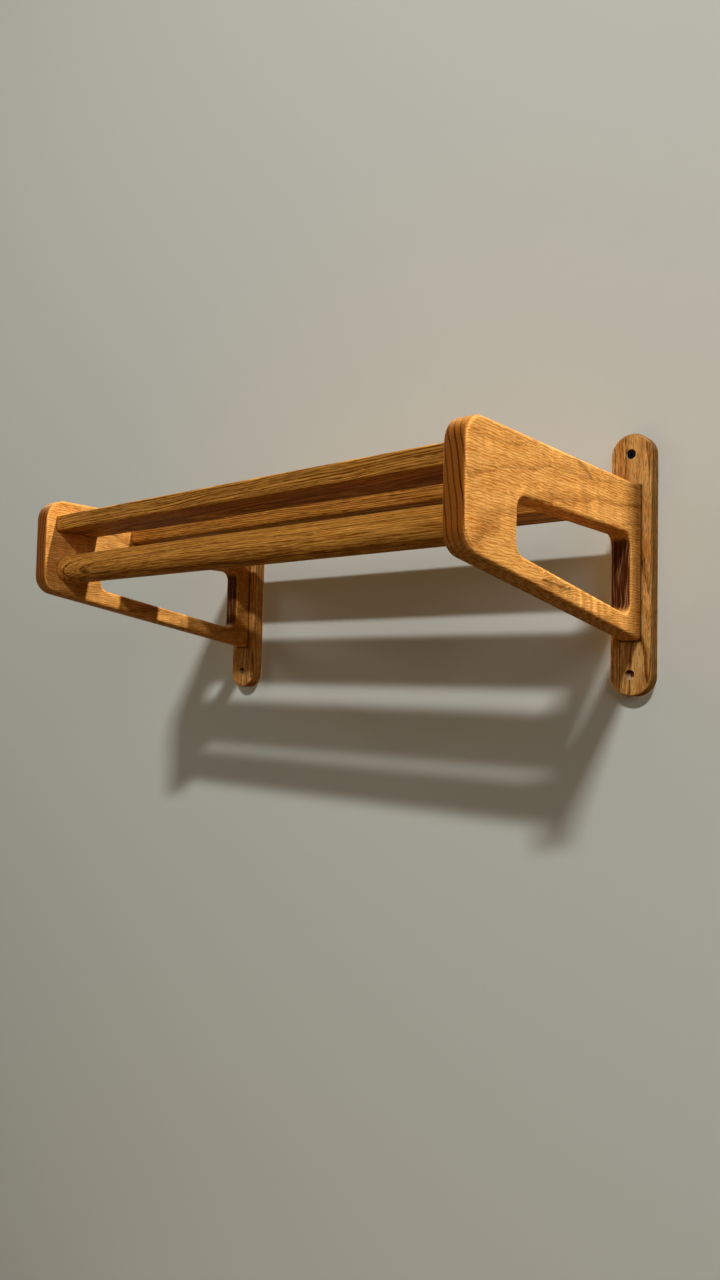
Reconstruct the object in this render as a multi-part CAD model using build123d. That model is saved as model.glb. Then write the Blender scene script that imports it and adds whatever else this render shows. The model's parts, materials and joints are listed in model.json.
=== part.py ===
"""Slatted wall rack of oiled oak with a round hanging rail, in millimetres.

The origin is on the wall plane, midway between the two wall screws that carry the rack.
X runs along the wall, Y into the wall, so the rack stands out towards -Y, and Z is up.
"""

import os

from build123d import *

# Overall sizes
plate_spacing = 600.0  # centre to centre of the two wall plates
rack_depth = 350.0  # wall to the front edge of the side panels

# Wall plates
plate_width = 45.0
plate_height = 280.0
plate_thickness = 18.0
plate_edge_round = 3.0

# Side panels
panel_thickness = 23.0
panel_top_drop = 57.5  # top of the plate down to the top edge of the panel
panel_front_height = 111.0
panel_back_height = 164.0
panel_top_nose_radius = 25.0
panel_bottom_nose_radius = 22.0
panel_edge_round = 4.0

# Window in each side panel
window_front_rail = 80.0  # front edge of the panel to the window
window_back_stile = 25.0  # plate to the window
window_top_rail = 55.5  # top edge of the panel to the window
window_strut = 20.0  # thickness of the sloping strut below the window
window_corner_radius = 12.0

# Shelf slats
slat_names = ["front_slat", "middle_slat", "rear_slat"]
slat_width = 58.0
slat_thickness = 19.0
slat_setback = 13.0  # front edge of the panel to the front slat
slat_back_gap = 44.0  # rear slat to the wall plate
slat_top_drop = 19.5  # top edge of the panel to the top of the slats
slat_edge_round = 2.5

# Round hanging rail
rail_diameter = 35.0
rail_setback = 33.0  # front edge of the panel to the rail's axis
rail_top_drop = 83.5  # top edge of the panel to the rail's axis

# Wooden dowels
slat_dowel_diameter = 8.0
slat_dowel_spacing = 30.0
slat_dowel_in_panel = 12.0
slat_dowel_in_slat = 20.0
rail_dowel_diameter = 16.0
rail_dowel_in_panel = 12.0
rail_dowel_in_rail = 32.0
plate_dowel_diameter = 10.0
plate_dowel_spacing = 28.0
plate_dowel_in_plate = 12.0
plate_dowel_in_panel = 30.0
dowel_chamfer = 0.8
dowel_clearance = 0.05  # on the radius
dowel_glue_space = 1.0  # past the free end of each dowel

# Countersunk screws that fix each plate to its panel from behind
plate_screw_head_diameter = 9.0
plate_screw_head_height = 3.0
plate_screw_shank_diameter = 4.5
plate_screw_in_panel = 42.0
plate_screw_tip = 5.0
plate_screw_sink = 0.5  # head below the back of the plate
plate_screw_clearance = 0.25  # on the radius, in the plate
plate_screw_pilot_clearance = 0.05  # on the radius, in the panel

# Wall screws and their counterbored holes
wall_hole_diameter = 5.0
wall_counterbore_diameter = 10.0
wall_counterbore_depth = 6.0
wall_counterbore_ease = 0.5  # sanded edge at the mouth
wall_screw_head_diameter = 9.4
wall_screw_head_height = 5.0
wall_screw_head_round = 0.8
wall_screw_shank_diameter = 4.2
wall_screw_thread_diameter = 4.8
wall_screw_in_wall = 40.0
wall_screw_tip = 7.0

# Cross recess in every screw head
recess_length = 4.8
recess_width = 1.1
recess_depth = 2.0

# Places that follow from the sizes above
plate_end_radius = plate_width / 2
plate_x = plate_spacing / 2
plate_face_y = -plate_thickness
lower_hole_z = -(plate_height - plate_width)
panel_front_y = -rack_depth
panel_length = rack_depth - plate_thickness
panel_top_z = plate_end_radius - panel_top_drop
panel_front_bottom_z = panel_top_z - panel_front_height
panel_back_bottom_z = panel_top_z - panel_back_height
panel_inner_x = plate_x - panel_thickness / 2
bottom_slope = (panel_front_bottom_z - panel_back_bottom_z) / panel_length
strut_height = window_strut * (1 + bottom_slope**2) ** 0.5
window_front_y = panel_front_y + window_front_rail
window_back_y = plate_face_y - window_back_stile
window_top_z = panel_top_z - window_top_rail
slat_length = 2 * panel_inner_x
slat_top_z = panel_top_z - slat_top_drop
slat_axis_z = slat_top_z - slat_thickness / 2
slat_span = panel_length - slat_setback - slat_back_gap - slat_width
slat_pitch = slat_span / (len(slat_names) - 1)
slat_axes_y = [
    panel_front_y + slat_setback + slat_width / 2 + place * slat_pitch
    for place in range(len(slat_names))
]
rail_axis_y = panel_front_y + rail_setback
rail_axis_z = panel_top_z - rail_top_drop
top_rail_axis_z = panel_top_z - window_top_rail / 2
strut_axis_z = (
    panel_back_bottom_z
    + bottom_slope * plate_screw_in_panel / 2
    + strut_height / 2
)
plate_dowel_zs = [
    top_rail_axis_z + side * plate_dowel_spacing / 2
    for side in (-1, 1)
]
plate_screw_zs = [top_rail_axis_z, strut_axis_z]

FRONT = (0, -1, 0)
BACK = (0, 1, 0)
BASE = (Align.CENTER, Align.CENTER, Align.MIN)


def panel_bottom_z(y):
    """Height of the panel's sloping lower edge at depth y."""
    return panel_front_bottom_z - bottom_slope * (y - panel_front_y)


def rounded_outline(corners, radii):
    """Flat outline through the corners, each rounded by its own radius."""
    outline = Polygon(*corners, align=None)
    for corner, radius in zip(corners, radii):
        if radius > 0:
            nearest = min(outline.vertices(), key=lambda v: (Vector(v) - Vector(*corner)).length)
            outline = fillet(nearest, radius)
    return outline


def peg(start, direction, diameter, length):
    """Plain round peg or hole, from its start along a direction."""
    return Plane(start, z_dir=direction) * Cylinder(diameter / 2, length, align=BASE)


def dowel(start, direction, diameter, length):
    """Round wooden dowel with both ends chamfered."""
    body = Cylinder(diameter / 2, length, align=BASE)
    ends = body.edges().filter_by(GeomType.CIRCLE)
    return Plane(start, z_dir=direction) * chamfer(ends, dowel_chamfer)


def dowel_hole(mouth, direction, diameter, depth):
    """Blind hole that takes a dowel with a slim clearance."""
    return peg(mouth, direction, diameter + 2 * dowel_clearance, depth)


def cross_recess():
    """Driver recess that opens upwards at the plane z = 0."""
    bar = Box(recess_length, recess_width, recess_depth, align=(Align.CENTER, Align.CENTER, Align.MAX))
    return bar + Rot(0, 0, 90) * bar


def turned(profile):
    """Solid turned about Z from a profile of radius and height pairs."""
    return revolve(Plane.XZ * Polygon(*profile, align=None), Axis.Z)


def plate_dowel_starts(side):
    """Bottoms of the dowel holes in one plate."""
    y = plate_face_y + plate_dowel_in_plate
    return [(side * plate_x, y, z) for z in plate_dowel_zs]


def slat_dowel_starts(side, slat_y):
    """Bottoms of the dowel holes that hold one end of a slat, in the panel."""
    x = side * (panel_inner_x + slat_dowel_in_panel)
    return [
        (x, slat_y + place * slat_dowel_spacing / 2, slat_axis_z)
        for place in (-1, 1)
    ]


def rail_dowel_start(side):
    """Bottom of the dowel hole that holds one end of the rail, in the panel."""
    return (side * (panel_inner_x + rail_dowel_in_panel), rail_axis_y, rail_axis_z)


def make_wall_plate(side):
    """Upright plate with half-round ends, drilled for wall screws, dowels and panel screws."""
    x = side * plate_x
    middle_z = lower_hole_z / 2
    outline = SlotOverall(plate_height, plate_width, rotation=90)
    plate = Pos(x, 0, middle_z) * extrude(Plane.XZ * outline, plate_thickness)
    plate = fillet(plate.edges().group_by(Axis.Y)[0], plate_edge_round)
    for z in (0, lower_hole_z):
        plate -= peg((x, 0, z), FRONT, wall_hole_diameter, plate_thickness)
        plate -= Plane((x, plate_face_y, z), z_dir=BACK) * counterbore()
    for start in plate_dowel_starts(side):
        plate -= dowel_hole(start, FRONT, plate_dowel_diameter, plate_dowel_in_plate)
    for z in plate_screw_zs:
        plate -= Plane((x, 0, z), z_dir=FRONT) * countersunk_hole()
    return plate


def counterbore():
    """Flat-bottomed hole for a wall screw's head, with an eased mouth at the plane z = 0."""
    radius = wall_counterbore_diameter / 2
    mouth_radius = radius + wall_counterbore_ease
    return turned([
        (0, 0),
        (mouth_radius, 0),
        (radius, wall_counterbore_ease),
        (radius, wall_counterbore_depth),
        (0, wall_counterbore_depth),
    ])


def countersunk_hole():
    """Clearance hole with a countersink, from the back of the plate."""
    head_radius = plate_screw_head_diameter / 2
    shank_radius = plate_screw_shank_diameter / 2
    hole_radius = shank_radius + plate_screw_clearance
    taper = (head_radius - shank_radius) / plate_screw_head_height
    hole_start = plate_screw_sink + (head_radius - hole_radius) / taper
    return turned([
        (0, 0),
        (head_radius, 0),
        (head_radius, plate_screw_sink),
        (hole_radius, hole_start),
        (hole_radius, plate_thickness),
        (0, plate_thickness),
    ])


def make_side_panel(side):
    """Side panel with a rounded nose, a sloping lower edge and a four-sided window."""
    outline = rounded_outline(
        [
            (panel_front_y, panel_top_z),
            (plate_face_y, panel_top_z),
            (plate_face_y, panel_back_bottom_z),
            (panel_front_y, panel_front_bottom_z),
        ],
        [panel_top_nose_radius, 0, 0, panel_bottom_nose_radius],
    )
    window = rounded_outline(
        [
            (window_front_y, window_top_z),
            (window_back_y, window_top_z),
            (window_back_y, panel_bottom_z(window_back_y) + strut_height),
            (window_front_y, panel_bottom_z(window_front_y) + strut_height),
        ],
        [window_corner_radius] * 4,
    )
    panel = extrude(Plane.YZ * (outline - window), panel_thickness / 2, both=True)
    faces = panel.faces().filter_by(Axis.X)
    rims = [
        edge
        for edge in faces.edges()
        if abs(edge.center().Y - plate_face_y) > panel_edge_round
    ]
    panel = Pos(side * plate_x, 0, 0) * fillet(rims, panel_edge_round)
    outwards = (side, 0, 0)
    for slat_y in slat_axes_y:
        for _, y, z in slat_dowel_starts(side, slat_y):
            mouth = (side * panel_inner_x, y, z)
            panel -= dowel_hole(mouth, outwards, slat_dowel_diameter, slat_dowel_in_panel)
    rail_mouth = (side * panel_inner_x, rail_axis_y, rail_axis_z)
    panel -= dowel_hole(rail_mouth, outwards, rail_dowel_diameter, rail_dowel_in_panel)
    for x, _, z in plate_dowel_starts(side):
        depth = plate_dowel_in_panel + dowel_glue_space
        panel -= dowel_hole((x, plate_face_y, z), FRONT, plate_dowel_diameter, depth)
    pilot_diameter = plate_screw_shank_diameter + 2 * plate_screw_pilot_clearance
    for z in plate_screw_zs:
        panel -= peg((side * plate_x, plate_face_y, z), FRONT, pilot_diameter, plate_screw_in_panel)
    return panel


def make_slat(slat_y):
    """Flat slat with eased long edges and blind dowel holes in both ends."""
    slat = Box(slat_length, slat_width, slat_thickness)
    slat = Pos(0, slat_y, slat_axis_z) * fillet(slat.edges().filter_by(Axis.X), slat_edge_round)
    for side in (-1, 1):
        for _, y, z in slat_dowel_starts(side, slat_y):
            depth = slat_dowel_in_slat + dowel_glue_space
            mouth = (side * panel_inner_x, y, z)
            slat -= dowel_hole(mouth, (-side, 0, 0), slat_dowel_diameter, depth)
    return slat


def make_hanging_rail():
    """Round rail with one blind dowel hole in each end."""
    start = (-panel_inner_x, rail_axis_y, rail_axis_z)
    rail = peg(start, (1, 0, 0), rail_diameter, slat_length)
    for side in (-1, 1):
        depth = rail_dowel_in_rail + dowel_glue_space
        mouth = (side * panel_inner_x, rail_axis_y, rail_axis_z)
        rail -= dowel_hole(mouth, (-side, 0, 0), rail_dowel_diameter, depth)
    return rail


def make_slat_dowels(side, slat_y):
    """The two dowels in one end of a slat."""
    length = slat_dowel_in_panel + slat_dowel_in_slat
    return [
        dowel(start, (-side, 0, 0), slat_dowel_diameter, length)
        for start in slat_dowel_starts(side, slat_y)
    ]


def make_rail_dowel(side):
    """The dowel in one end of the rail."""
    length = rail_dowel_in_panel + rail_dowel_in_rail
    return dowel(rail_dowel_start(side), (-side, 0, 0), rail_dowel_diameter, length)


def make_plate_dowels(side):
    """The two dowels between one plate and its panel."""
    length = plate_dowel_in_plate + plate_dowel_in_panel
    return [
        dowel(start, FRONT, plate_dowel_diameter, length)
        for start in plate_dowel_starts(side)
    ]


def make_plate_screw(x, z):
    """Countersunk screw, driven from the back of the plate into the panel's end."""
    head_radius = plate_screw_head_diameter / 2
    shank_radius = plate_screw_shank_diameter / 2
    tip_z = plate_thickness + plate_screw_in_panel
    screw = turned([
        (0, plate_screw_sink),
        (head_radius, plate_screw_sink),
        (shank_radius, plate_screw_sink + plate_screw_head_height),
        (shank_radius, tip_z - plate_screw_tip),
        (0, tip_z),
    ])
    screw -= Pos(0, 0, plate_screw_sink) * Rot(180, 0, 0) * cross_recess()
    return Plane((x, 0, z), z_dir=FRONT) * screw


def make_wall_screw(x):
    """Black screw through an upper hole of the plate, with its thread in the wall."""
    head_radius = wall_screw_head_diameter / 2
    shank_radius = wall_screw_shank_diameter / 2
    thread_radius = wall_screw_thread_diameter / 2
    seat = plate_thickness - wall_counterbore_depth
    head_top = seat + wall_screw_head_height
    screw = turned([
        (0, head_top),
        (head_radius, head_top),
        (head_radius, seat),
        (shank_radius, seat),
        (shank_radius, 0),
        (thread_radius, 0),
        (thread_radius, wall_screw_tip - wall_screw_in_wall),
        (0, -wall_screw_in_wall),
    ])
    screw = fillet(screw.edges().group_by(Axis.Z)[-1], wall_screw_head_round)
    screw -= Pos(0, 0, head_top) * cross_recess()
    return Plane((x, 0, 0), z_dir=FRONT) * screw


def all_nodes():
    """Every piece of the rack by its name."""
    nodes = {"hanging_rail": make_hanging_rail()}
    for slat_name, slat_y in zip(slat_names, slat_axes_y):
        nodes[slat_name] = make_slat(slat_y)
    for side_name, side in (("left", -1), ("right", 1)):
        nodes[f"{side_name}_wall_plate"] = make_wall_plate(side)
        nodes[f"{side_name}_side_panel"] = make_side_panel(side)
        nodes[f"{side_name}_plate_dowels"] = Compound(make_plate_dowels(side))
        nodes[f"{side_name}_plate_screws"] = Compound(
            [make_plate_screw(side * plate_x, z) for z in plate_screw_zs]
        )
        nodes[f"hanging_rail_{side_name}_dowel"] = make_rail_dowel(side)
        for slat_name, slat_y in zip(slat_names, slat_axes_y):
            nodes[f"{slat_name}_{side_name}_dowels"] = Compound(make_slat_dowels(side, slat_y))
    nodes["wall_screws"] = Compound([make_wall_screw(side * plate_x) for side in (-1, 1)])
    return nodes


os.makedirs("parts", exist_ok=True)
for node_name, shape in all_nodes().items():
    export_step(shape, f"parts/{node_name}.step")
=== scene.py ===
"""Looks of a slatted wall rack of oiled oak with a round hanging rail.

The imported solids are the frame. Each board gets its own cut of oak, the wall screws get their threads and
cross recesses, and the studio has a pale wall, a pale floor, soft lamps and the camera.
Lengths are metres unless a name says otherwise.
"""

import json
import logging
import math
from dataclasses import dataclass, field
from enum import Enum

import bmesh
import bpy
from mathutils import Euler, Matrix, Vector


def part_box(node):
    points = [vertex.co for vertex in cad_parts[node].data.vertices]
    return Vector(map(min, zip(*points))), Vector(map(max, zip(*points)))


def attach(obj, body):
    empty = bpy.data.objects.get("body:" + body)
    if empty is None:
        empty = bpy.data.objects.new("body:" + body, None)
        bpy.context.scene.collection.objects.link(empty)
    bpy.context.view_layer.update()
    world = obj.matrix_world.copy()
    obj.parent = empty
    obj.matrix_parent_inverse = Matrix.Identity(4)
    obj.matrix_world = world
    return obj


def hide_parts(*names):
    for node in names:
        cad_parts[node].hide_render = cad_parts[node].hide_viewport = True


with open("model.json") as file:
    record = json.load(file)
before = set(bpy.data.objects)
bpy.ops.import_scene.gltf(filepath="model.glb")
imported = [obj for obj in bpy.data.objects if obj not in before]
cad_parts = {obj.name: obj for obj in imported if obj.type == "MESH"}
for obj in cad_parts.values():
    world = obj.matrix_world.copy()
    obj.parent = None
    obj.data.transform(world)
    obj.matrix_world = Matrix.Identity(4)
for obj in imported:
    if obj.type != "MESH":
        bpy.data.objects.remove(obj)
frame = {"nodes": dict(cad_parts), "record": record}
log = logging.getLogger("wall_rack")

MM = 0.001
PER_MM = 1000.0  # turns metres into millimetres inside the materials
FULL_TURN = 2 * math.pi
NOISE_SWING = 4.0  # noise leaves its middle by about a quarter
SAME = 1e-6  # places this close are one
FLAT = 1e-5  # faces this close to a plane lie on it
ORIGIN = (0.0, 0.0, 0.0)
ACROSS_X = (0.0, 1.0, 1.0)  # keeps what lies across the X axis

Material = bpy.types.Material
Node = bpy.types.Node
Piece = bpy.types.Object
Shape = bmesh.types.BMesh
Socket = bpy.types.NodeSocket
Flow = Node | Socket
Feed = Flow | float | tuple[float, ...] | Vector
Pair = tuple[float, float]
Point = tuple[float, float, float]


def linear(code: str) -> tuple[float, float, float, float]:
    """Turns an sRGB hex colour into linear RGBA.

    Args:
        code: Colour such as "#C98A45".

    Returns:
        The four linear channels, with full alpha.
    """
    channels = [int(code[place:place + 2], 16) / 255 for place in (1, 3, 5)]
    red, green, blue = (
        value / 12.92 if value <= 0.04045 else ((value + 0.055) / 1.055) ** 2.4
        for value in channels
    )
    return red, green, blue, 1.0


class Recipe:
    """A node tree that is written node by node."""

    def __init__(self, owner: Material | bpy.types.World) -> None:
        """Starts with an empty tree.

        Args:
            owner: Material or world that the tree belongs to.
        """
        owner.use_nodes = True
        self.tree = owner.node_tree
        self.tree.nodes.clear()

    def add(self, kind: str, feeds: dict[str | int, Feed] | None = None, **settings: object) -> Node:
        """Adds one node with its settings, its input values and its links.

        Args:
            kind: Type of the node, without the leading "ShaderNode".
            feeds: Input by name or place, with its value, or with the output or the node that feeds it. A
                node feeds its first output in use.
            settings: Properties of the node itself.

        Returns:
            The new node.
        """
        node = self.tree.nodes.new("ShaderNode" + kind)
        for key, value in settings.items():
            setattr(node, key, value)
        for key, value in (feeds or {}).items():
            if isinstance(value, Node):
                value = next(output for output in value.outputs if output.enabled)
            if isinstance(value, Socket):
                self.tree.links.new(value, node.inputs[key])
            else:
                node.inputs[key].default_value = value
        return node


def dress(piece: Piece, material: Material) -> None:
    """Puts one material into the piece's slots.

    Args:
        piece: Object to dress.
        material: Its finish.
    """
    if not piece.material_slots:
        piece.data.materials.append(material)
    for slot in piece.material_slots:
        slot.material = material
    log.info("%s: %s", piece.name, material.name)


def mesh_object(name: str, shape: Shape) -> Piece:
    """Turns a finished bmesh into an object at the origin.

    Args:
        name: Name of the object.
        shape: The bmesh, which is freed.

    Returns:
        The linked object.
    """
    mesh = bpy.data.meshes.new(name)
    shape.to_mesh(mesh)
    shape.free()
    piece = bpy.data.objects.new(name, mesh)
    bpy.context.scene.collection.objects.link(piece)
    return piece


def centre_of(node: str) -> Vector:
    """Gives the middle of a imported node's box."""
    low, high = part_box(node)
    return (low + high) / 2


class Grain(Enum):
    """Direction of a board's grain, as the turn that brings it onto the X axis of the log."""

    ALONG_X = (0.0, 0.0, 0.0)
    ALONG_Y = (0.0, 0.0, -math.pi / 2)
    ALONG_Z = (0.0, math.pi / 2, 0.0)

    def turn(self) -> Matrix:
        """Gives the turn as a matrix."""
        return Euler(self.value).to_matrix()


@dataclass(frozen=True)
class DarkStreak:
    """A brown streak or a healed crack that runs through a board's thickness from one point to another."""

    start: Pair  # Y and Z
    end: Pair
    width_mm: float
    depth: float  # share of the wood's brightness that it takes
    wander_mm: float
    wave_mm: float = 9.0  # size of its bends


@dataclass(frozen=True)
class CurlyPatch:
    """A patch of curly grain, whose bands lie across the grain and are pale and dark in turn."""

    middle: Pair  # Y and Z
    reach_mm: Pair  # along Y and Z
    band_mm: float
    depth: float
    core: float = 0.45  # share of the reach with full bands
    drift_mm: float = 16.0  # size of the bands' bends
    drift: float = 7.0  # how far the bends go, in radians of a band


@dataclass(frozen=True)
class OiledOak:
    """Oak, planed, sanded and oiled.

    The board is cut out of a solid log: growth rings about a pith give lines on the edges, arches on the
    faces and bars on the end grain. Dark pores crowd at the start of each ring, short ray flecks cover
    flat-sawn faces, curly patches shimmer across the grain, end grain drinks more oil and goes darker, and
    the oil leaves a soft sheen.
    """

    name: str
    grain: Grain
    from_pith_mm: Pair  # board's middle from the pith, across the grain
    run_out_deg: Pair  # lean of the pith against the board
    sweep_mm: Pair = (0.0, 0.0)  # how far the pith bows away at the board's low end
    length_mm: float = 0.0  # board's length, where the pith bows
    bend_mm: float = 11.0  # waviness of the pith
    ring_mm: float = 3.4
    early_share: float = 0.5  # porous part of each ring
    ring_contrast: float = 0.6
    pore_contrast: float = 0.7
    pore_mm: Pair = (15.0, 0.85)  # length and width
    late_pores: float = 0.3  # pores outside the early wood
    fleck_share: float = 0.4  # short ray flecks against long streaks
    fleck_mm: Pair = (14.0, 2.7)  # length and spacing
    layered: bool = False  # flecks run along the growth layers, not in rows across the board
    layer_slant: float = 0.4  # how far the rows lean out of the layers
    fleck_wander: float = 2.25  # how many rows a row wanders
    loose_share: float = 0.5  # flecks that lie in no row
    streak_mm: Pair = (120.0, 2.4)  # along the grain and from layer to layer
    streak_turn_mm: float = 14.0  # across the grain within a layer
    figure: float = 0.06  # cross-grain shimmer in curly patches
    seed_mm: float = 0.0
    pale: str = "#F0B25C"
    honey: str = "#B87024"
    early: str = "#874A12"
    pore: str = "#552E0B"
    # Painted shade in the upper half of each bore.
    raw: str = "#DDBB94"
    bore_shade: str = "#4A2613"
    end_pale: str = "#9C5C22"
    end_line: str = "#552A08"
    # End grain inside the window, painted darker than other end grain: painted shade of the recess.
    sawn_in_shade: str = "#4E2711"
    sawn_streak: str = "#AD7F55"
    shaded_behind: float | None = None  # Y behind which end grain is left as sawn and painted darker with painted shade
    joints: tuple[tuple[str, float], ...] = ()  # axis and place of each joint with another board, where painted shade darkens the wood
    joint_shade_mm: float = 3.0  # reach of the painted shade along a joint
    knots: tuple[Point, ...] = ()  # Y, Z and reach of each knot that the grain flows round
    dark_streaks: tuple[DarkStreak, ...] = ()
    curly_patches: tuple[CurlyPatch, ...] = ()
    edge_highlight: float = 0.0  # painted highlight: how much paler the round edges are, where light catches them
    edge_axis: str = "X"  # axis across the two faces that those edges frame
    shaded_footprint: tuple[Vector, Vector] | None = None  # box of a board that stands on this one's front, round which painted shade falls
    bores: tuple[Pair, ...] = ()  # X and Z of raw drilled holes
    bore_radius: float = 5.3 * MM

    # The rest is the same for every board of the rack.
    bow_power: float = 20.0  # how close to the board's end the pith bows
    bend_wave_mm: Pair = (150.0, 65.0)
    knot_squeeze: float = 0.85
    ring_rise: float = 0.9  # where the next ring starts to show
    faint_ring: float = 0.35  # strength of the faintest ring
    pore_cut: Pair = (0.52, 0.60)
    streak_cut: Pair = (0.42, 0.58)
    row_side: Point = (0.0, 0.35, 1.0)  # way from row to row of the flecks
    row_bend: float = 1.7  # width of a row's bends, in rows
    loose_size: Pair = (0.8, 0.32)  # of a loose fleck, in lengths and rows
    loose_cut: Pair = (0.4, 0.6)
    fleck_cut: float = 0.75
    wave_mm: Pair = (9.0, 42.0)  # shimmer across the grain
    wave_cut: Pair = (0.35, 0.65)
    patch_mm: Pair = (95.0, 48.0)  # curly and mottled patches
    patch_cut: Pair = (0.45, 0.62)
    plain_share: float = 0.3  # shimmer outside the patches
    mottle: Pair = (0.94, 1.06)
    end_cut: Pair = (0.55, 0.97)  # from long grain to end grain
    bar_width: float = 1.7
    dot_depth: float = 0.3
    torn_mm: Point = (math.inf, 1 / 0.65, 40.0)  # torn fibres on sawn end grain
    torn_cut: Pair = (0.52, 0.68)
    edge_square: float = 0.55  # square of the normal's share across the faces, amid a round edge
    edge_cut: Pair = (0.15, 0.42)
    # Brightness of the painted shade beside a joint.
    joint_shade: float = 0.3
    # Brightness of the painted shade round the foot of another board.
    foot_shade: float = 0.22
    back_skin: float = 0.3 * MM  # the plate's oiled back
    bore_shade_heights: Pair = (-0.5 * MM, 3.5 * MM)  # heights in a bore from raw wood to painted shade
    roughness: Pair = (0.52, 0.72)  # wood and pores
    ring_relief: float = 0.3
    tone_relief: float = 0.45
    relief: float = 0.45
    relief_depth: float = 0.25 * MM
    ior: float = 1.47
    specular: float = 0.02

    def material(self, centre: Vector) -> Material:
        """Makes the material of a board with this middle."""
        return OakRecipe(self, centre).material


class OakRecipe(Recipe):
    """The nodes of one oak board, layer by layer."""

    def __init__(self, oak: OiledOak, centre: Vector) -> None:
        """Writes all layers.

        Args:
            oak: The board's cut and finish.
            centre: Middle of the board.
        """
        self.material = bpy.data.materials.new(oak.name)
        super().__init__(self.material)
        self.oak = oak
        axes = self.add("TexCoord").outputs
        self.place, self.normal = axes["Object"], axes["Normal"]
        self.board = self._board_space(centre)
        across = self.add("VectorMath", {0: self.board, 1: ACROSS_X}, operation="MULTIPLY")
        self.radius = self.add("VectorMath", {0: across}, operation="LENGTH")
        self.early, self.strength = self._rings()
        self.pores = self._pores()
        self.tone = self._tone()
        self.colour = self._long_grain()
        self._shimmer()
        self._end_grain()
        for patch in oak.curly_patches:
            self._curl(patch)
        for streak in oak.dark_streaks:
            self._streak(streak)
        # Painted highlight on the round edges.
        if oak.edge_highlight:
            self._paint_edge_highlights()
        # Painted shade along each joint.
        for axis, joint in oak.joints:
            self._paint_joint_shade(axis, joint)
        # Painted shade round the foot of the board that stands on the front.
        if oak.shaded_footprint:
            self._paint_foot_shade()
        # Raw bores, with painted shade in their upper half.
        if oak.bores:
            self._raw_bores_with_shade()
        self._surface()

    def _pattern(
        self, place: Flow, size_mm: tuple[float, ...], detail: float, roughness: float = 0.5,
    ) -> Node:
        """Draws noise in spots of a given size.

        Args:
            place: Coordinates in the log.
            size_mm: Length along the grain, width across it, and depth where that differs from the width.
            detail: How many finer layers it has.
            roughness: Strength of those layers.

        Returns:
            The noise.
        """
        scale = tuple(1 / size for size in (*size_mm, size_mm[-1])[:3])
        sized = self.add("VectorMath", {0: place, 1: scale}, operation="MULTIPLY")
        feeds = {"Vector": sized, "Scale": 1.0, "Detail": detail, "Roughness": roughness}
        return self.add("TexNoise", feeds)

    def _shade_near(self, gap: Flow, reach: Pair, shade: float) -> None:
        """Shades the wood near something.

        Args:
            gap: Distance from what shades the wood.
            reach: Where the shade starts to fade, and where it ends.
            shade: Brightness in full shade.
        """
        fade = self.add(
            "MapRange",
            {"Value": gap, "From Min": reach[0], "From Max": reach[1], "To Min": shade, "To Max": 1.0},
            interpolation_type="SMOOTHSTEP",
        )
        self.colour = self.add("VectorMath", {0: self.colour, "Scale": fade}, operation="SCALE")

    def _board_space(self, centre: Vector) -> Node:
        """Lays the log's millimetres over the board, with X along the grain, and bows and bends the log.

        Args:
            centre: Middle of the board.

        Returns:
            Coordinates in the log.
        """
        oak = self.oak
        lean_y, lean_z = (math.radians(angle) for angle in oak.run_out_deg)
        turn = Euler((0.0, lean_y, lean_z)).to_matrix() @ oak.grain.turn()
        offset = Vector((0.0, *oak.from_pith_mm)) - turn @ (centre * PER_MM)
        board = self.add(
            "Mapping",
            {"Vector": self.place, "Location": offset, "Rotation": turn.to_euler(), "Scale": (PER_MM,) * 3},
        )
        for y, z, reach in oak.knots:
            heart = turn @ (Vector((centre.x, y, z)) * PER_MM) + offset
            board = self._flow_round(board, heart, reach * PER_MM)
        if oak.length_mm:
            board = self._bow(board)
        seeded = self.add("VectorMath", {0: board, 1: (oak.seed_mm, 0.0, 0.0)}, operation="ADD")
        bend = self._pattern(seeded, oak.bend_wave_mm, 2.0, 0.45).outputs["Color"]
        middled = self.add("VectorMath", {0: bend, 1: (0.5,) * 3}, operation="SUBTRACT")
        size = (0.0, oak.bend_mm, oak.bend_mm)
        return self.add("VectorMath", {0: middled, 1: size, 2: seeded}, operation="MULTIPLY_ADD")

    def _flow_round(self, board: Flow, heart: Vector, reach_mm: float) -> Node:
        """Lets the grain part round a knot.

        Args:
            board: Coordinates in the log.
            heart: The knot's middle in the log.
            reach_mm: How far along the grain the knot is felt.

        Returns:
            Coordinates with the grain pushed aside.
        """
        away = self.add("VectorMath", {0: board, 1: heart}, operation="SUBTRACT")
        size = (1 / reach_mm, 0.0, 2 / reach_mm)
        sized = self.add("VectorMath", {0: away, 1: size}, operation="MULTIPLY")
        far = self.add("VectorMath", {0: sized}, operation="LENGTH")
        squeeze = self.add(
            "MapRange", {"Value": far, "To Min": -self.oak.knot_squeeze, "To Max": 0.0},
            interpolation_type="SMOOTHSTEP",
        )
        aside = self.add("VectorMath", {0: away, 1: (0.0, 0.0, 1.0)}, operation="MULTIPLY")
        push = self.add("VectorMath", {0: aside, "Scale": squeeze}, operation="SCALE")
        return self.add("VectorMath", {0: board, 1: push}, operation="ADD")

    def _bow(self, board: Flow) -> Node:
        """Bows the pith away at the board's low end.

        Args:
            board: Coordinates in the log.

        Returns:
            Coordinates in the bowed log.
        """
        along = self.add("SeparateXYZ", {0: board}).outputs["X"]
        half = self.oak.length_mm / 2
        from_end = self.add("MapRange", {"Value": along, "From Min": half, "From Max": -half})
        curve = self.add("Math", {0: from_end, 1: self.oak.bow_power}, operation="POWER")
        bow = self.add("VectorMath", {0: (0.0, *self.oak.sweep_mm), "Scale": curve}, operation="SCALE")
        return self.add("VectorMath", {0: board, 1: bow}, operation="ADD")

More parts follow.
